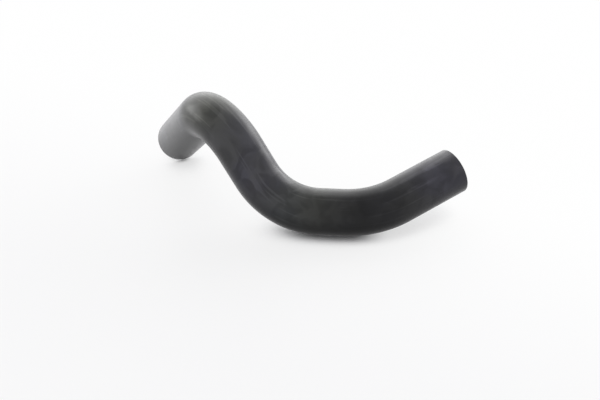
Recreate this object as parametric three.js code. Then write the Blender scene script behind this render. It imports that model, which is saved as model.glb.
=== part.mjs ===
// A moulded rubber coolant hose: one open tube with three bends in different planes, cut square at both ends.
// It lies as it comes to rest, on the short straight run between its lower bends and on the rim of one end.
// Millimetres, +Z up. The other cut end is held up clear of the ground.
import * as THREE from 'three';

// Section of the tube
const bore = 32;
const wall = 4.5;

// Centreline, walked from the raised end to the resting end
const raisedRun = 59;
const toeBendRadius = 80;
const toeBendAngle = 37;
const groundRun = 20;
const kneeBendRadius = 65;
const kneeBendAngle = 58;
const climbingRun = 26;
const crownBendRadius = 38;
const crownBendAngle = 100;
const restingRun = 99;

// Turn of the bending plane from one bend to the next, right-handed about the way walked
const kneeTurnAngle = -55;
const crownTurnAngle = 122;

// Fineness of the facets
const sectionSides = 28;
const ringSpacing = 6;

const outerRadius = bore / 2 + wall;

// One bend of the centreline: it starts at a point with a heading, and curves towards side.
class Bend extends THREE.Curve {
  constructor(start, heading, side, radius, angle) {
    super();
    this.start = start.clone();
    this.heading = heading.clone();
    this.side = side.clone();
    this.radius = radius;
    this.angle = angle;
  }

  getPoint(share, target = new THREE.Vector3()) {
    const turned = this.angle * share;
    return target
      .copy(this.start)
      .addScaledVector(this.heading, this.radius * Math.sin(turned))
      .addScaledVector(this.side, this.radius * (1 - Math.cos(turned)));
  }

  getTangent(share, target = new THREE.Vector3()) {
    const turned = this.angle * share;
    return target
      .set(0, 0, 0)
      .addScaledVector(this.heading, Math.cos(turned))
      .addScaledVector(this.side, Math.sin(turned));
  }
}

// A walk holds the curves made so far, and the place, the heading and the side that the next bend curves towards.
function startWalk(place, heading, side) {
  return { curves: [], place: place.clone(), heading: heading.clone(), side: side.clone() };
}

function goStraight(walk, length) {
  const end = walk.place.clone().addScaledVector(walk.heading, length);
  walk.curves.push(new THREE.LineCurve3(walk.place.clone(), end));
  walk.place = end;
}

function goRound(walk, radius, degrees) {
  const angle = THREE.MathUtils.degToRad(degrees);
  const bend = new Bend(walk.place, walk.heading, walk.side, radius, angle);
  walk.curves.push(bend);
  walk.place = bend.getPoint(1);
  const side = walk.side.clone().multiplyScalar(Math.cos(angle));
  walk.side = side.addScaledVector(walk.heading, -Math.sin(angle));
  walk.heading = bend.getTangent(1);
}

function turnPlane(walk, degrees) {
  walk.side.applyAxisAngle(walk.heading, THREE.MathUtils.degToRad(degrees));
}

// The whole centreline, with the middle of the ground run above the origin and the toe bend's plane at a tilt
// in degrees from level. The first walk only finds where the raised end is.
function walkHose(tilt) {
  const angle = THREE.MathUtils.degToRad(tilt);
  const middle = new THREE.Vector3(0, 0, outerRadius);
  const side = new THREE.Vector3(0, Math.cos(angle), Math.sin(angle));
  const toRaisedEnd = startWalk(middle, new THREE.Vector3(1, 0, 0), side);
  goStraight(toRaisedEnd, groundRun / 2);
  goRound(toRaisedEnd, toeBendRadius, toeBendAngle);
  goStraight(toRaisedEnd, raisedRun);

  const walk = startWalk(toRaisedEnd.place, toRaisedEnd.heading.negate(), toRaisedEnd.side);
  goStraight(walk, raisedRun);
  goRound(walk, toeBendRadius, toeBendAngle);
  goStraight(walk, groundRun);
  turnPlane(walk, kneeTurnAngle);
  goRound(walk, kneeBendRadius, kneeBendAngle);
  goStraight(walk, climbingRun);
  turnPlane(walk, crownTurnAngle);
  goRound(walk, crownBendRadius, crownBendAngle);
  goStraight(walk, restingRun);
  return walk;
}

// Height of the lowest point of the resting end's rim above the ground
function rimHeight(tilt) {
  const { place, heading } = walkHose(tilt);
  return place.z - outerRadius * Math.sqrt(1 - heading.z ** 2);
}

// The hose rolls about its ground run until the rim touches the ground: the tilt is found by halving a range.
function tiltAtRest() {
  const halvings = 40;
  let low = -60;
  let high = 90;
  for (let count = 0; count < halvings; count += 1) {
    const middle = (low + high) / 2;
    if (rimHeight(middle) < 0) {
      low = middle;
    } else {
      high = middle;
    }
  }
  return high;
}

function makeRoute() {
  const route = new THREE.CurvePath();
  walkHose(tiltAtRest()).curves.forEach((curve) => route.add(curve));
  return route;
}

function makeSection() {
  const section = new THREE.Shape();
  section.absarc(0, 0, outerRadius, 0, 2 * Math.PI);
  const hollow = new THREE.Path();
  hollow.absarc(0, 0, bore / 2, 0, 2 * Math.PI);
  section.holes.push(hollow);
  return section;
}

function makeHose() {
  const route = makeRoute();
  const geometry = new THREE.ExtrudeGeometry(makeSection(), {
    steps: Math.round(route.getLength() / ringSpacing),
    curveSegments: sectionSides / 2,
    bevelEnabled: false,
    extrudePath: route,
  });
  const rubber = new THREE.MeshStandardMaterial({ color: 0x2c2c30, roughness: 0.62, metalness: 0 });
  const hose = new THREE.Mesh(geometry, rubber);
  hose.name = 'hose';
  return hose;
}

// The origin is the middle of the bottom of the hose's box.
function standOnGround(mesh) {
  const box = new THREE.Box3().setFromObject(mesh, true);
  const middle = box.getCenter(new THREE.Vector3());
  mesh.position.set(-middle.x, -middle.y, -box.min.z);
}

const hose = makeHose();
standOnGround(hose);

const part = new THREE.Group();
part.add(hose);

export default part;
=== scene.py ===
"""A moulded rubber coolant hose, lying on a pale studio floor.

Metres, +Z up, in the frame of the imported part.
"""
import math

import bpy
import numpy as np
from bpy.props import FloatProperty, FloatVectorProperty, PointerProperty
from bpy.types import Operator, Panel, PropertyGroup
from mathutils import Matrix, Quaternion, Vector, noise


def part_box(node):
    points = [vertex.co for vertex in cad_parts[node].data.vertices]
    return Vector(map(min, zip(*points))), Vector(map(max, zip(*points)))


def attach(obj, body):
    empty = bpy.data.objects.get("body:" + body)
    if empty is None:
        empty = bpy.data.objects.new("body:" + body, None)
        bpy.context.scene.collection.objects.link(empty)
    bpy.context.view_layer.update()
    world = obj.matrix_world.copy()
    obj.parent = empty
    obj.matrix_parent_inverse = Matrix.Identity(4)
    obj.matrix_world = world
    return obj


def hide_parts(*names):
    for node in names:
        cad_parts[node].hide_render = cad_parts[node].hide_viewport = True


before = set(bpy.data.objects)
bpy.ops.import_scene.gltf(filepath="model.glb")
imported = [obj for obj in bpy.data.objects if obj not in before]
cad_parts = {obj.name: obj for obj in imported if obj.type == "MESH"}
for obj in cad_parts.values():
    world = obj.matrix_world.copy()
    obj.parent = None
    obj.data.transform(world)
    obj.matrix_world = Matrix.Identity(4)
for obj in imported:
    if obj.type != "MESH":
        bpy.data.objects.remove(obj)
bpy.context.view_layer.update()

bl_info = {
    "name": "Coolant Hose",
    "version": (1, 0, 0),
    "blender": (4, 5, 0),
    "location": "3D View > Sidebar > Hose",
    "description": "Moulds a rubber coolant hose and sets a plain studio round it",
    "category": "Add Mesh",
}

MM = 0.001
PHOTO_WIDTH = 600
SENSOR_MM = 36.0

# Vertices round the section, and spacing of the rings along the skin and along the bore
SECTION_SIDES = 128
SKIN_STEP = 1.2 * MM
BORE_STEP = 3 * MM

# Places on the floor: under the ground run, and where the resting end's rim stands
GROUND_RUN_PLACE = (16 * MM, -57 * MM, 0)
RESTING_RIM_PLACE = (-124 * MM, 56 * MM, 0)

# Sockets of the Mix node when it mixes colours
MIX_A, MIX_B, MIXED = 6, 7, 2

# Attribute that holds each vertex's place on the straightened tube
STRAIGHT_PLACE = "straight_place"

# The film along the hose, partly a real film of handling and partly painted light and shade: thick and pale
# on the resting run as a painted grazing reflection, thin on the toe bend as painted shade. Millimetres from
# the raised end, tint, and thickness from 0 to 1
FILM_RAMP_END = 400
FILM_AND_PAINTED_LIGHT_ALONG = (
    (0, "violet_film", 0.75),
    (30, "violet_film", 0.6),
    (60, "plain_film", 0.3),
    (95, "plain_film", 0.14),
    (130, "moss_film", 0.5),
    (160, "slate_film", 0.75),
    (190, "violet_film", 0.85),
    (238, "plain_film", 0.85),
    (258, "olive_film", 0.6),
    (274, "olive_film", 0.5),
    (286, "pale_film", 0.9),
    (300, "pale_film", 0.85),
    (388, "pale_film", 0.7),
)


def linear(hex_colour):
    """The linear red, green and blue of an sRGB hex colour such as 2B2B2E."""
    shares = [int(hex_colour[i : i + 2], 16) / 255 for i in (0, 2, 4)]
    return [s / 12.92 if s <= 0.04045 else ((s + 0.055) / 1.055) ** 2.4 for s in shares]


def length(name, millimetres, description):
    size = millimetres * MM
    return FloatProperty(
        name=name, description=description, default=size, min=0, subtype="DISTANCE", precision=4
    )


def angle(name, degrees, description):
    turn = math.radians(degrees)
    return FloatProperty(name=name, description=description, default=turn, subtype="ANGLE")


def share(name, value, description):
    return FloatProperty(
        name=name, description=description, default=value, min=0, max=1, subtype="FACTOR"
    )


def level(name, value, description):
    return FloatProperty(name=name, description=description, default=value, min=0)


def watts(name, value, description):
    return FloatProperty(name=name, description=description, default=value, min=0, subtype="POWER")


def colour(name, hex_colour, description):
    tint = linear(hex_colour)
    return FloatVectorProperty(
        name=name, description=description, default=tint, min=0, max=1, size=3, subtype="COLOR"
    )


def place(name, millimetres, description):
    point = [v * MM for v in millimetres]
    return FloatVectorProperty(
        name=name, description=description, default=point, size=3, subtype="TRANSLATION"
    )


class HoseShape(PropertyGroup):
    """The tube's section, and the runs and bends of its centreline from the raised to the resting end."""

    bore: length("Bore", 32, "Inside diameter of the tube")
    wall: length("Wall", 4.5, "Thickness of the rubber wall")
    raised_run: length("Raised run", 59, "Straight run that ends in the raised cut end")
    toe_radius: length("Toe bend radius", 80, "Centreline radius of the bend beside the raised run")
    toe_angle: angle("Toe bend", 37, "Angle that the toe bend turns through")
    ground_run: length("Ground run", 20, "Straight run that the hose lies on")
    knee_radius: length("Knee bend radius", 65, "Centreline radius of the bend that leaves the ground")
    knee_angle: angle("Knee bend", 58, "Angle that the knee bend turns through")
    climbing_run: length("Climbing run", 26, "Straight run between the knee and the crown bend")
    crown_radius: length("Crown bend radius", 38, "Centreline radius of the bend at the top")
    crown_angle: angle("Crown bend", 100, "Angle that the crown bend turns through")
    resting_run: length("Resting run", 99, "Straight run whose cut end's rim stands on the ground")
    knee_turn: angle("Knee turn", -55, "Turn of the bending plane from the toe bend to the knee bend")
    crown_turn: angle("Crown turn", 122, "Turn of the bending plane from the knee bend to the crown bend")
    edge_radius: length("Edge radius", 0.5, "Rounding that the knife leaves on the rims")
    swell: length("Swell", 0.16, "Height of the slow unevenness that steam curing leaves in the skin")
    swell_length: length("Swell length", 34, "Length of that unevenness")
    ridge: length("Ridge", 0.05, "Height of the lengthwise ridges that extrusion leaves in the skin")
    ridge_width: length("Ridge width", 5, "Spacing of the ridges round the hose")
    ridge_length: length("Ridge length", 160, "Length of the ridges along the hose")


class HoseFinish(PropertyGroup):
    """Colours and gloss of the rubber."""

    skin: colour("Skin", "0D0D0E", "Carbon-black rubber of the outside")
    violet_film: colour("Violet film", "3B3A45", "Film of handling on the raised run and past the knee")
    plain_film: colour("Plain film", "3D3D42", "Film on the toe bend and the climbing run")
    moss_film: colour("Moss film", "3B3C39", "Film on the ground run")
    slate_film: colour("Slate film", "3A3D40", "Film in the middle of the knee bend")
    olive_film: colour("Olive film", "464741", "Film on the crown bend")
    pale_film: colour("Pale film", "434349", "Film on the resting run")
    bloom: colour("Bloom", "3E3E38", "Waxy bloom that browns the film in patches")
    dust: colour("Dust", "8A8570", "Specks of dust on the skin")
    cut: colour("Cut", "171718", "Rubber where the knife went through the wall")
    scored: colour("Scored", "343435", "Marks that the knife dragged across the cut")
    lining: colour("Lining", "1C1D1F", "Rubber of the bore, moulded on the mandrel")
    powder: colour("Powder", "55564F", "Release powder that the mandrel leaves in the bore")
    skin_roughness: share("Skin roughness", 0.23, "Roughness of the moulded skin")
    roughness_spread: share("Roughness spread", 0.04, "How far the lines vary the skin's roughness")
    bare_gloss: share("Bare gloss", 0.16, "Specular level of the bare skin")
    film_gloss: share("Film gloss", 0.42, "Specular level of the skin under a full film")
    sheen: share("Sheen", 0.3, "Silky light on skin that is seen at a slant")
    sheen_roughness: share("Sheen roughness", 0.4, "How far that light spreads over the skin")
    cut_roughness: share("Cut roughness", 0.7, "Roughness of the cut faces")
    lining_roughness: share("Lining roughness", 0.3, "Roughness of the bore where it is clean")
    powder_roughness: share("Powder roughness", 0.6, "Roughness of the bore under the powder")


class Studio(PropertyGroup):
    """The floor, the lamps and the camera."""

    floor: colour("Floor", "D3D3D5", "Satin vinyl sweep under the hose")
    bright_side: angle("Bright side", 0, "Way to the room's bright side, clockwise from behind the hose")
    bright_height: angle("Bright height", 65, "Angle above the ground that the bright side reaches")
    bright_level: level("Bright level", 2.1, "Light of the room behind the hose")
    dim_level: level("Dim level", 0.8, "Light of the room on the camera's side")
    right_box: watts("Right box", 5.0, "Power of the soft box behind the hose on the right")
    right_box_place: place("Right box place", (1150, 1150, 600), "Middle of the right soft box")
    right_box_width: length("Right box width", 1100, "Width of the right soft box")
    right_box_height: length("Right box height", 1100, "Height of the right soft box")
    left_box: watts("Left box", 4.5, "Power of the soft box on the left")
    left_box_place: place("Left box place", (-1600, 400, 450), "Middle of the left soft box")
    left_box_width: length("Left box width", 1100, "Width of the left soft box")
    left_box_height: length("Left box height", 900, "Height of the left soft box")
    box_aim: place("Box aim", (0, 0, 50), "Point that both soft boxes face")
    lift: share("Floor lift", 0.62, "How far the camera sees the open floor in front lifted towards white")
    full_lift: share("Full lift", 0.97, "The same for the open floor behind on the right")
    mirrored_lift: share("Mirrored lift", 0.2, "Share of that lift that reflections of the floor get")
    camera_place: place("Camera", (58.3, -850.9, 547.6), "Where the camera stands")
    camera_target: place("Target", (-3.1, -10.7, 0), "Point on the ground in the middle of the picture")
    focal_pixels: level("Focal length", 1104, "Focal length in pixels of a picture 600 wide")


class Route:
    """A centreline of runs and bends, walked from a place with a heading. Bends curve towards side."""

    def __init__(self, start, heading, side):
        self.first_side = side.copy()
        self.legs = []
        self.total = 0.0
        self.end, self.heading, self.side = start.copy(), heading.copy(), side.copy()

    def run(self, distance):
        self._walk(distance, math.inf)

    def bend(self, radius, turned):
        self._walk(radius * turned, radius)

    def turn(self, turned):
        self.side.rotate(Quaternion(self.heading, turned))

    def _walk(self, distance, radius):
        leg = (self.total, self.end, self.heading, self.side, radius)
        self.legs.append(leg)
        self.end, self.heading, self.side = self._along(leg, distance)
        self.total += distance

    @staticmethod
    def _along(leg, distance):
        _, start, heading, side, radius = leg
        if radius == math.inf:
            return start + heading * distance, heading.copy(), side.copy()
        turned = distance / radius
        point = start + heading * radius * math.sin(turned) + side * radius * (1 - math.cos(turned))
        ahead = heading * math.cos(turned) + side * math.sin(turned)
        across = side * math.cos(turned) - heading * math.sin(turned)
        return point, ahead, across

    def at(self, distance):
        """The point and the heading at a distance from the raised end."""
        leg = [leg for leg in self.legs if leg[0] <= max(distance, 0)][-1]
        point, ahead, _ = self._along(leg, distance - leg[0])
        return point, ahead


def outer_radius(shape):
    return shape.bore / 2 + shape.wall


def walk_hose(shape, tilt):
    """The centreline, with its ground run's middle above the origin and the toe bend's plane tilted."""
    middle = Vector((0, 0, outer_radius(shape)))
    out = Route(middle, Vector((1, 0, 0)), Vector((0, math.cos(tilt), math.sin(tilt))))
    out.run(shape.ground_run / 2)
    out.bend(shape.toe_radius, shape.toe_angle)
    out.run(shape.raised_run)

    route = Route(out.end, -out.heading, out.side)
    route.run(shape.raised_run)
    route.bend(shape.toe_radius, shape.toe_angle)
    route.run(shape.ground_run)
    route.turn(shape.knee_turn)
    route.bend(shape.knee_radius, shape.knee_angle)
    route.run(shape.climbing_run)
    route.turn(shape.crown_turn)
    route.bend(shape.crown_radius, shape.crown_angle)
    route.run(shape.resting_run)
    return route


def rest_route(shape):
    """The centreline rolled about its ground run until the resting end's rim touches the ground."""
    halvings = 40
    low, high = math.radians(-60), math.radians(90)
    for _ in range(halvings):
        middle = (low + high) / 2
        route = walk_hose(shape, middle)
        if route.end.z < outer_radius(shape) * math.sqrt(1 - route.heading.z**2):
            low = middle
        else:
            high = middle
    return walk_hose(shape, high)


def ring_list(shape, total):
    """Every ring of the surface as (distance, radius, layer), round through skin, cut, bore and cut."""
    edge = shape.edge_radius
    rings = []
    for d in np.linspace(edge, total - edge, round(total / SKIN_STEP)):
        rings.append((d, outer_radius(shape), "skin"))
    rings += lip(shape, total, 1)
    for d in np.linspace(total - edge, edge, round(total / BORE_STEP)):
        rings.append((d, shape.bore / 2, "lining"))
    rings += lip(shape, 0.0, -1)[::-1]
    return rings


def lip(shape, end, way):
    """The rings over one cut end, from the skin to the bore: rounded rim, cut face, rounded rim."""
    corner_steps, cut_steps = 4, 5
    outer, inner, edge = outer_radius(shape), shape.bore / 2, shape.edge_radius
    turns = np.linspace(0, math.pi / 2, corner_steps + 1)[1:]
    rings = []
    for turned in turns:
        back, inwards = edge * (1 - math.sin(turned)), edge * (1 - math.cos(turned))
        rings.append((end - way * back, outer - inwards, "cut"))
    for radius in np.linspace(outer - edge, inner + edge, cut_steps + 1)[1:]:
        rings.append((end, radius, "cut"))
    for turned in turns[:-1]:
        back, outwards = edge * (1 - math.cos(turned)), edge * (1 - math.sin(turned))
        rings.append((end - way * back, inner + outwards, "cut"))
    return rings


def skin_depth(shape, spot):
    """How deep the skin lies under the nominal tube at a spot of the straightened tube."""
    slow = noise.noise(spot / shape.swell_length)
    width, reach = shape.ridge_width, shape.ridge_length
    ridged = noise.noise(Vector((spot.x / width, spot.y / width, spot.z / reach)))
    return shape.swell * (1 + slow) / 2 + shape.ridge * (1 + ridged) / 2


def section_frames(route, stations):
    """The point and two directions across the tube at each station, carried along without twist."""
    frames = {}
    across, before = route.first_side.copy(), route.at(stations[0])[1]
    for d in stations:
        point, ahead = route.at(d)
        across.rotate(before.rotation_difference(ahead))
        across = (across - ahead * across.dot(ahead)).normalized()
        frames[d] = (point, across.copy(), ahead.cross(across))
        before = ahead
    return frames


def sweep_tube(shape, route, sides):
    """Vertices, straightened places, faces and face layers of the whole tube."""
    digits = 7
    rings = [(round(d, digits), radius, layer) for d, radius, layer in ring_list(shape, route.total)]
    frames = section_frames(route, sorted({d for d, _, _ in rings}))
    turns = [2 * math.pi * k / sides for k in range(sides)]
    points, spots = [], []
    for d, radius, layer in rings:
        point, across, over = frames[d]
        skin_share = (radius - shape.bore / 2) / shape.wall
        for turned in turns:
            out = across * math.cos(turned) + over * math.sin(turned)
            spot = Vector((radius * math.cos(turned), radius * math.sin(turned), d))
            points.append(point + out * (radius - skin_share * skin_depth(shape, spot)))
            spots.append(spot)
    faces, layers = [], []
    for i, (_, _, layer) in enumerate(rings):
        j = (i + 1) % len(rings)
        for k in range(sides):
            m = (k + 1) % sides
            faces.append((i * sides + k, i * sides + m, j * sides + m, j * sides + k))
            layers.append(layer)
    return points, spots, faces, layers


def seat_in_frame(points):
    """The points moved so that the middle of their box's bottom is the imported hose's."""
    low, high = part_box("hose")
    own_low = Vector([min(p[i] for p in points) for i in range(3)])
    own_high = Vector([max(p[i] for p in points) for i in range(3)])
    shift = (low + high) / 2 - (own_low + own_high) / 2
    shift.z = low.z - own_low.z
    return [p + shift for p in points]


def add_node(tree, kind, settings=None, inputs=None):
    """A node of a kind, with its settings, and with each input linked to a socket or set to a value."""
    node = tree.nodes.new(kind)
    for name, value in (settings or {}).items():
        setattr(node, name, value)
    for name, value in (inputs or {}).items():
        if isinstance(value, bpy.types.NodeSocket):
            tree.links.new(value, node.inputs[name])
        else:
            node.inputs[name].default_value = value
    return node


def new_material(name):
    """A material without nodes as yet, and its node tree."""
    material = bpy.data.materials.new(name)
    material.use_nodes = True
    material.node_tree.nodes.clear()
    return material, material.node_tree


def extrusion_lines(tree, spot, along, patches):
    """Fine lines along the hose, from 0 to 1, that come and go in patches, and fade on the resting run."""
    # The lines are 0.5 mm apart on the real skin, and drawn 1.6 mm apart so that they show
    across, reach = 1.6 * MM, 70 * MM
    squeezed = add_node(
        tree, "ShaderNodeMapping", inputs={"Vector": spot, "Scale": (1 / across, 1 / across, 1 / reach)}
    )
    combed = add_node(
        tree, "ShaderNodeTexNoise", inputs={"Vector": squeezed.outputs["Vector"], "Scale": 1, "Detail": 2}
    )
    clear = add_node(
        tree,
        "ShaderNodeMapRange",
        inputs={"Value": along, "From Min": 250 * MM, "From Max": 300 * MM, "To Min": 1.0, "To Max": 0.25},
    )
    kept = add_node(
        tree,
        "ShaderNodeMapRange",
        {"interpolation_type": "SMOOTHSTEP"},
        {"Value": patches, "From Min": 0.4, "From Max": 0.6, "To Max": clear.outputs["Result"]},
    )
    lines = add_node(
        tree,
        "ShaderNodeMix",
        {"data_type": "FLOAT"},
        {"Factor": kept.outputs["Result"], "A": 0.5, "B": combed.outputs["Fac"]},
    )
    return lines.outputs["Result"]


def slanting_marks(tree, spot, slant, width, reach, least, most, amount):
    """Marks of a width and a reach that slant by two angles in degrees: 1 off them, and amount on them."""
    turned = add_node(
        tree,
        "ShaderNodeMapping",
        inputs={
            "Vector": spot,
            "Rotation": (math.radians(slant[0]), math.radians(slant[1]), 0),
            "Scale": (1 / width, 1 / width, 1 / reach),
        },
    )
    rubbed = add_node(
        tree, "ShaderNodeTexNoise", inputs={"Vector": turned.outputs["Vector"], "Scale": 1, "Detail": 1}
    )
    marks = add_node(
        tree,
        "ShaderNodeMapRange",
        {"interpolation_type": "SMOOTHSTEP"},
        {
            "Value": rubbed.outputs["Fac"],
            "From Min": least,
            "From Max": most,
            "To Min": 1,
            "To Max": amount,
        },
    )
    return marks.outputs["Result"]


def film_and_painted_light(tree, spot, along, finish):
    """The thin grey film that hands leave on the upper side, which also carries painted light and shade: its
    thickness (1 is full) and its tint.
    """
    facing = add_node(tree, "ShaderNodeNewGeometry").outputs["Normal"]
    upward = add_node(tree, "ShaderNodeSeparateXYZ", inputs={"Vector": facing})
    # The film thins to bare black skin on faces that look down: partly where hands don't reach, partly
    # painted shade on the underside of the hose
    upper_side_and_painted_shade = add_node(
        tree,
        "ShaderNodeMapRange",
        {"interpolation_type": "SMOOTHSTEP"},
        {"Value": upward.outputs["Z"], "From Min": -0.6, "From Max": 0.3},
    )
    run = add_node(
        tree, "ShaderNodeMapRange", inputs={"Value": along, "From Max": FILM_RAMP_END * MM}
    )
    ramp = add_node(tree, "ShaderNodeValToRGB", inputs={"Fac": run.outputs["Result"]})
    stops = ramp.color_ramp.elements
    for distance, tint, thickness in FILM_AND_PAINTED_LIGHT_ALONG:
        stop = stops.new(distance / FILM_RAMP_END)
        stop.color = (*getattr(finish, tint), thickness)
    stops.remove(stops[0])
    stops.remove(stops[-1])

    # Hands wipe the film thinner and thicker in smears about 15 mm wide
    wiped = add_node(
        tree,
        "ShaderNodeTexNoise",
        inputs={
            "Vector": spot,
            "Scale": 1 / (15 * MM),
            "Detail": 1.5,
            "Roughness": 0.45,
            "Distortion": 0.8,
        },
    )
    smears = add_node(
        tree,
        "ShaderNodeMapRange",
        {"interpolation_type": "SMOOTHSTEP"},
        {"Value": wiped.outputs["Fac"], "From Min": 0.36, "From Max": 0.64, "To Min": 0.78, "To Max": 1.15},
    )

    # Scuffs are pale and broad. Scratches are paler and thinner, and slant the other way
    scuffs = slanting_marks(tree, spot, (24, -15), 9 * MM, 70 * MM, 0.56, 0.68, 1.3)
    scratches = slanting_marks(tree, spot, (-14, 20), 3.5 * MM, 55 * MM, 0.61, 0.68, 1.45)

    thickness = ramp.outputs["Alpha"]
    for factor in (upper_side_and_painted_shade.outputs["Result"], smears.outputs["Result"], scuffs, scratches):
        thinned = add_node(tree, "ShaderNodeMath", {"operation": "MULTIPLY"}, {0: thickness, 1: factor})
        thickness = thinned.outputs["Value"]
    return thickness, ramp.outputs["Color"]


def moulded_skin(finish):
    """Moulded EPDM rubber: satin black, with extrusion lines along it, a fine grain and patches of bloom."""
    material, tree = new_material("moulded_EPDM_rubber")
    spot = add_node(tree, "ShaderNodeAttribute", {"attribute_name": STRAIGHT_PLACE}).outputs["Vector"]
    along = add_node(tree, "ShaderNodeSeparateXYZ", inputs={"Vector": spot}).outputs["Z"]
    patches = add_node(
        tree, "ShaderNodeTexNoise", inputs={"Vector": spot, "Scale": 1 / (30 * MM), "Detail": 3}
    ).outputs["Fac"]
    lines = extrusion_lines(tree, spot, along, patches)
    # The film lightens the upper side and the stretches that catch most light and leaves the underside
    # black, so the tint holds painted light and painted shade as well as a real film
    film, film_tint = film_and_painted_light(tree, spot, along, finish)

    # Waxy bloom turns the film a little brown in patches
    bloomed = add_node(
        tree,
        "ShaderNodeMapRange",
        {"interpolation_type": "SMOOTHSTEP"},
        {"Value": patches, "From Min": 0.4, "From Max": 0.62, "To Max": 0.35},
    )
    filmed = add_node(
        tree,
        "ShaderNodeMix",
        {"data_type": "RGBA"},
        {0: bloomed.outputs["Result"], MIX_A: film_tint, MIX_B: (*finish.bloom, 1)},
    )
    tint = add_node(
        tree,
        "ShaderNodeMix",
        {"data_type": "RGBA"},
        {0: film, MIX_A: (*finish.skin, 1), MIX_B: filmed.outputs[MIXED]},
    )

    # Specks of dust about 0.7 mm wide, one to a patch of 20 mm
    cells = add_node(
        tree,
        "ShaderNodeTexVoronoi",
        {"feature": "F1"},
        {"Vector": spot, "Scale": 1 / (20 * MM), "Randomness": 1},
    )
    specks = add_node(
        tree,
        "ShaderNodeMapRange",
        inputs={
            "Value": cells.outputs["Distance"],
            "From Min": 0.012,
            "From Max": 0.022,
            "To Min": 1,
            "To Max": 0,
        },
    )
    dusty = add_node(
        tree,
        "ShaderNodeMix",
        {"data_type": "RGBA"},
        {0: specks.outputs["Result"], MIX_A: tint.outputs[MIXED], MIX_B: (*finish.dust, 1)},
    )

    roughness = add_node(
        tree,
        "ShaderNodeMapRange",
        inputs={
            "Value": lines,
            "From Min": 0.3,
            "From Max": 0.7,
            "To Min": finish.skin_roughness - finish.roughness_spread,
            "To Max": finish.skin_roughness + finish.roughness_spread,
        },
    )
    line_bump = add_node(
        tree, "ShaderNodeBump", inputs={"Height": lines, "Distance": 0.04 * MM, "Strength": 1}
    )
    # The grain is 0.4 mm on the real skin, and drawn at 0.9 mm
    grain = add_node(
        tree, "ShaderNodeTexNoise", inputs={"Vector": spot, "Scale": 1 / (0.9 * MM), "Detail": 2}
    )
    grain_bump = add_node(
        tree,
        "ShaderNodeBump",
        inputs={
            "Height": grain.outputs["Fac"],
            "Distance": 0.02 * MM,
            "Strength": 1,
            "Normal": line_bump.outputs["Normal"],
        },
    )
    # The film is glossier than the bare skin, and most of all in the scuffs and scratches
    gloss = add_node(
        tree,
        "ShaderNodeMapRange",
        {"clamp": False},
        {"Value": film, "To Min": finish.bare_gloss, "To Max": finish.film_gloss},
    )
    shader = add_node(
        tree,
        "ShaderNodeBsdfPrincipled",
        inputs={
            "Base Color": dusty.outputs[MIXED],
            "Roughness": roughness.outputs["Result"],
            "IOR": 1.5,
            "Specular IOR Level": gloss.outputs["Result"],
            "Sheen Weight": finish.sheen,
            "Sheen Roughness": finish.sheen_roughness,
            "Normal": grain_bump.outputs["Normal"],
        },
    )
    add_node(tree, "ShaderNodeOutputMaterial", inputs={"Surface": shader.outputs["BSDF"]})
    return material


def cut_rubber(finish):
    """Knife-cut rubber: a dull, nearly black face that the blade has scored with paler drag marks."""
    material, tree = new_material("knife_cut_rubber")
    spot = add_node(tree, "ShaderNodeAttribute", {"attribute_name": STRAIGHT_PLACE}).outputs["Vector"]
    # Drag marks are 0.2 mm apart on a real cut, and drawn 0.6 mm apart
    reach, across = 12 * MM, 0.6 * MM
    squeezed = add_node(
        tree, "ShaderNodeMapping", inputs={"Vector": spot, "Scale": (1 / reach, 1 / across, 0)}
    )
    drag = add_node(
        tree, "ShaderNodeTexNoise", inputs={"Vector": squeezed.outputs["Vector"], "Scale": 1, "Detail": 3}
    )
    scored = add_node(
        tree,
        "ShaderNodeMapRange",
        {"interpolation_type": "SMOOTHSTEP"},
        {"Value": drag.outputs["Fac"], "From Min": 0.4, "From Max": 0.66},
    )
    tint = add_node(
        tree,
        "ShaderNodeMix",
        {"data_type": "RGBA"},
        {0: scored.outputs["Result"], MIX_A: (*finish.cut, 1), MIX_B: (*finish.scored, 1)},
    )
    bump = add_node(
        tree, "ShaderNodeBump", inputs={"Height": drag.outputs["Fac"], "Distance": 0.15 * MM, "Strength": 1}
    )
    shader = add_node(
        tree,
        "ShaderNodeBsdfPrincipled",
        inputs={
            "Base Color": tint.outputs[MIXED],
            "Roughness": finish.cut_roughness,
            "IOR": 1.5,
            "Normal": bump.outputs["Normal"],
        },
    )
    add_node(tree, "ShaderNodeOutputMaterial", inputs={"Surface": shader.outputs["BSDF"]})
    return material


def mandrel_lining(finish):
    """Rubber moulded on a steel mandrel: without extrusion lines, and hazed with release powder."""
    material, tree = new_material("mandrel_moulded_rubber")
    spot = add_node(tree, "ShaderNodeAttribute", {"attribute_name": STRAIGHT_PLACE}).outputs["Vector"]
    haze = add_node(tree, "ShaderNodeTexNoise", inputs={"Vector": spot, "Scale": 1 / (9 * MM), "Detail": 4})
    powdered = add_node(
        tree,
        "ShaderNodeMapRange",
        {"interpolation_type": "SMOOTHSTEP"},
        {"Value": haze.outputs["Fac"], "From Min": 0.42, "From Max": 0.7, "To Max": 0.6},
    )
    tint = add_node(
        tree,
        "ShaderNodeMix",
        {"data_type": "RGBA"},
        {0: powdered.outputs["Result"], MIX_A: (*finish.lining, 1), MIX_B: (*finish.powder, 1)},
    )
    roughness = add_node(
        tree,
        "ShaderNodeMapRange",
        inputs={
            "Value": haze.outputs["Fac"],
            "To Min": finish.lining_roughness,
            "To Max": finish.powder_roughness,
        },
    )
    bump = add_node(
        tree, "ShaderNodeBump", inputs={"Height": haze.outputs["Fac"], "Distance": 0.1 * MM, "Strength": 1}
    )
    shader = add_node(
        tree,
        "ShaderNodeBsdfPrincipled",
        inputs={
            "Base Color": tint.outputs[MIXED],
            "Roughness": roughness.outputs["Result"],
            "IOR": 1.5,
            "Normal": bump.outputs["Normal"],
        },
    )
    add_node(tree, "ShaderNodeOutputMaterial", inputs={"Surface": shader.outputs["BSDF"]})
    return material


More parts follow.
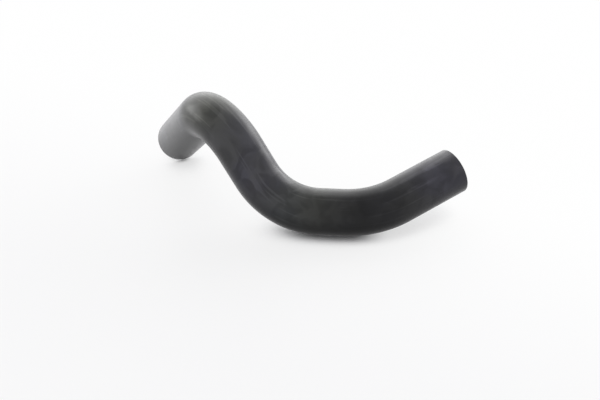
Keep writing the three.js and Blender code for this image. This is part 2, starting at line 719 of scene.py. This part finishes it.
class HOSE_OT_mould(Operator):
    """Mould the hose: sweep the tube along its bends, cut its ends and finish it in rubber"""

    bl_idname = "hose.mould"
    bl_label = "Mould Hose"

    def execute(self, context):
        shape, finish = context.scene.hose_shape, context.scene.hose_finish
        points, spots, faces, layers = sweep_tube(shape, rest_route(shape), SECTION_SIDES)
        mesh = bpy.data.meshes.new("coolant_hose")
        mesh.from_pydata(seat_in_frame(points), [], faces)
        mesh.shade_smooth()
        makers = {"skin": moulded_skin, "cut": cut_rubber, "lining": mandrel_lining}
        for make in makers.values():
            mesh.materials.append(make(finish))
        slots = list(makers)
        mesh.polygons.foreach_set("material_index", [slots.index(layer) for layer in layers])
        attribute = mesh.attributes.new(STRAIGHT_PLACE, "FLOAT_VECTOR", "POINT")
        attribute.data.foreach_set("vector", [v for s in spots for v in s])
        hose = bpy.data.objects.new("coolant_hose", mesh)
        context.scene.collection.objects.link(hose)
        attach(hose, "root")
        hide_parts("hose")
        return {"FINISHED"}


def floor_lift(tree, studio):
    """How far each spot of the floor is lifted towards white, less where the hose's shadow lies."""
    where = add_node(tree, "ShaderNodeTexCoord").outputs["Object"]

    # Open floor is lifted most behind on the right
    behind_right = (0.44, 0.9, 0)
    towards = add_node(
        tree, "ShaderNodeVectorMath", {"operation": "DOT_PRODUCT"}, {0: where, 1: behind_right}
    )
    fullest = add_node(
        tree,
        "ShaderNodeMapRange",
        {"interpolation_type": "SMOOTHSTEP"},
        {
            "Value": towards.outputs["Value"],
            "From Min": -250 * MM,
            "From Max": 120 * MM,
            "To Min": studio.lift,
            "To Max": studio.full_lift,
        },
    )
    open_sky = add_node(tree, "ShaderNodeAmbientOcclusion", {"samples": 12}, {"Distance": 50 * MM})
    open_lift = add_node(
        tree,
        "ShaderNodeMapRange",
        {"interpolation_type": "SMOOTHSTEP"},
        {
            "Value": open_sky.outputs["AO"],
            "From Min": 0.2,
            "From Max": 0.62,
            "To Max": fullest.outputs["Result"],
        },
    )

    # Farther than 30 to 64 mm from the ground run the floor is lifted towards white, which paints out the
    # hose's shadow there, so the deep shadow lies only round the ground run
    from_ground_run = add_node(
        tree, "ShaderNodeVectorMath", {"operation": "DISTANCE"}, {0: where, 1: GROUND_RUN_PLACE}
    )
    painted_out_shadow = add_node(
        tree,
        "ShaderNodeMapRange",
        {"interpolation_type": "SMOOTHSTEP"},
        {
            "Value": from_ground_run.outputs["Value"],
            "From Min": 30 * MM,
            "From Max": 64 * MM,
            "To Max": studio.lift,
        },
    )
    # The rim of the resting end keeps a thin dark line where it stands
    from_rim = add_node(
        tree, "ShaderNodeVectorMath", {"operation": "DISTANCE"}, {0: where, 1: RESTING_RIM_PLACE}
    )
    off_rim = add_node(
        tree,
        "ShaderNodeMapRange",
        {"interpolation_type": "SMOOTHSTEP"},
        {
            "Value": from_rim.outputs["Value"],
            "From Min": 3 * MM,
            "From Max": 12 * MM,
            "To Max": painted_out_shadow.outputs["Result"],
        },
    )
    # Far from the hose the floor runs into the white of the room
    far = add_node(
        tree,
        "ShaderNodeMapRange",
        {"interpolation_type": "SMOOTHSTEP"},
        {"Value": from_ground_run.outputs["Value"], "From Min": 600 * MM, "From Max": 1300 * MM},
    )
    lift = open_lift.outputs["Result"]
    for other in (off_rim, far):
        greater = add_node(
            tree, "ShaderNodeMath", {"operation": "MAXIMUM"}, {0: lift, 1: other.outputs["Result"]}
        )
        lift = greater.outputs["Value"]
    return lift


def lay_floor(studio):
    """Calendered white vinyl on the ground, far larger than the picture: pale, with a soft satin gloss."""
    reach = 6.0
    corners = [(-reach, -reach, 0), (reach, -reach, 0), (reach, reach, 0), (-reach, reach, 0)]
    mesh = bpy.data.meshes.new("floor")
    mesh.from_pydata(corners, [], [(0, 1, 2, 3)])
    material, tree = new_material("satin_white_vinyl")
    vinyl = add_node(
        tree,
        "ShaderNodeBsdfPrincipled",
        inputs={"Base Color": (*studio.floor, 1), "Roughness": 0.5, "IOR": 1.5},
    )

    # The camera sees the whole lift, and reflections see a share of it
    rays = add_node(tree, "ShaderNodeLightPath")
    mirrored = add_node(
        tree,
        "ShaderNodeMath",
        {"operation": "MAXIMUM"},
        {0: rays.outputs["Is Glossy Ray"], 1: rays.outputs["Is Transmission Ray"]},
    )
    seen = add_node(
        tree,
        "ShaderNodeMath",
        {"operation": "MULTIPLY_ADD"},
        {0: mirrored.outputs["Value"], 1: studio.mirrored_lift, 2: rays.outputs["Is Camera Ray"]},
    )
    lifted = add_node(
        tree,
        "ShaderNodeMath",
        {"operation": "MULTIPLY"},
        {0: floor_lift(tree, studio), 1: seen.outputs["Value"]},
    )
    white = add_node(tree, "ShaderNodeEmission", inputs={"Color": (1, 1, 1, 1), "Strength": 1.0})
    mixed = add_node(
        tree,
        "ShaderNodeMixShader",
        inputs={0: lifted.outputs["Value"], 1: vinyl.outputs["BSDF"], 2: white.outputs["Emission"]},
    )
    add_node(tree, "ShaderNodeOutputMaterial", inputs={"Surface": mixed.outputs["Shader"]})
    mesh.materials.append(material)
    floor = bpy.data.objects.new("floor", mesh)
    bpy.context.scene.collection.objects.link(floor)


def hang_box(name, power, where, aim, width, height):
    """A soft box: a rectangular area lamp that faces a point."""
    lamp = bpy.data.lights.new(name, "AREA")
    lamp.shape = "RECTANGLE"
    lamp.size, lamp.size_y = width, height
    lamp.energy = power
    holder = bpy.data.objects.new(name, lamp)
    holder.location = where
    holder.rotation_euler = (Vector(aim) - Vector(where)).to_track_quat("-Z", "Y").to_euler()
    bpy.context.scene.collection.objects.link(holder)


def light_world(studio):
    """A pale room, bright behind the hose and dim on the camera's side, and plain white to the camera."""
    world = bpy.data.worlds.new("pale_room")
    world.use_nodes = True
    tree = world.node_tree
    tree.nodes.clear()
    ways = add_node(tree, "ShaderNodeTexCoord")
    turned, height = studio.bright_side, studio.bright_height
    middle = (math.sin(turned) * math.sin(height), math.cos(turned) * math.sin(height), -math.cos(height))
    towards = add_node(
        tree,
        "ShaderNodeVectorMath",
        {"operation": "DOT_PRODUCT"},
        {0: ways.outputs["Generated"], 1: middle},
    )
    strength = add_node(
        tree,
        "ShaderNodeMapRange",
        {"interpolation_type": "SMOOTHSTEP"},
        {
            "Value": towards.outputs["Value"],
            "From Min": -0.15,
            "From Max": 0.2,
            "To Min": studio.dim_level,
            "To Max": studio.bright_level,
        },
    )
    room = add_node(
        tree,
        "ShaderNodeBackground",
        inputs={"Color": (1, 1, 1, 1), "Strength": strength.outputs["Result"]},
    )
    seen = add_node(tree, "ShaderNodeBackground", inputs={"Color": (1, 1, 1, 1), "Strength": 1.0})
    rays = add_node(tree, "ShaderNodeLightPath")
    mixed = add_node(
        tree,
        "ShaderNodeMixShader",
        inputs={
            0: rays.outputs["Is Camera Ray"],
            1: room.outputs["Background"],
            2: seen.outputs["Background"],
        },
    )
    add_node(tree, "ShaderNodeOutputWorld", inputs={"Surface": mixed.outputs["Shader"]})
    bpy.context.scene.world = world


def set_camera(studio):
    """The camera, aimed at its target, with the lens that its focal length in pixels calls for."""
    camera = bpy.data.cameras.new("camera")
    camera.sensor_width = SENSOR_MM
    camera.lens = studio.focal_pixels / PHOTO_WIDTH * SENSOR_MM
    holder = bpy.data.objects.new("camera", camera)
    where, target = Vector(studio.camera_place), Vector(studio.camera_target)
    holder.location = where
    holder.rotation_euler = (target - where).to_track_quat("-Z", "Y").to_euler()
    bpy.context.scene.collection.objects.link(holder)
    bpy.context.scene.camera = holder


class HOSE_OT_set_stage(Operator):
    """Set the stage: a white floor, a pale room, two soft boxes and the camera"""

    bl_idname = "hose.set_stage"
    bl_label = "Set Stage"

    def execute(self, context):
        studio = context.scene.hose_studio
        context.scene.view_settings.view_transform = "Standard"
        lay_floor(studio)
        light_world(studio)
        for name in ("right_box", "left_box"):
            power, where = getattr(studio, name), getattr(studio, f"{name}_place")
            width, height = getattr(studio, f"{name}_width"), getattr(studio, f"{name}_height")
            hang_box(name, power, where, studio.box_aim, width, height)
        set_camera(studio)
        return {"FINISHED"}


class HOSE_PT_panel(Panel):
    """Lists each step under its sizes and colours"""

    bl_label = "Coolant Hose"
    bl_idname = "HOSE_PT_panel"
    bl_space_type = "VIEW_3D"
    bl_region_type = "UI"
    bl_category = "Hose"

    def draw(self, context):
        for step, groups in STEPS.items():
            box = self.layout.box()
            for group in groups:
                for name in GROUPS[group].__annotations__:
                    box.prop(getattr(context.scene, group), name)
            box.operator(step)


GROUPS = {"hose_shape": HoseShape, "hose_finish": HoseFinish, "hose_studio": Studio}
STEPS = {"hose.mould": ("hose_shape", "hose_finish"), "hose.set_stage": ("hose_studio",)}
CLASSES = (*GROUPS.values(), HOSE_OT_mould, HOSE_OT_set_stage, HOSE_PT_panel)


def register():
    for item in CLASSES:
        bpy.utils.register_class(item)
    for name, group in GROUPS.items():
        setattr(bpy.types.Scene, name, PointerProperty(type=group))


def unregister():
    for name in GROUPS:
        delattr(bpy.types.Scene, name)
    for item in reversed(CLASSES):
        bpy.utils.unregister_class(item)


def main():
    register()
    bpy.ops.hose.mould()
    bpy.ops.hose.set_stage()


if __name__ == "__main__":
    main()
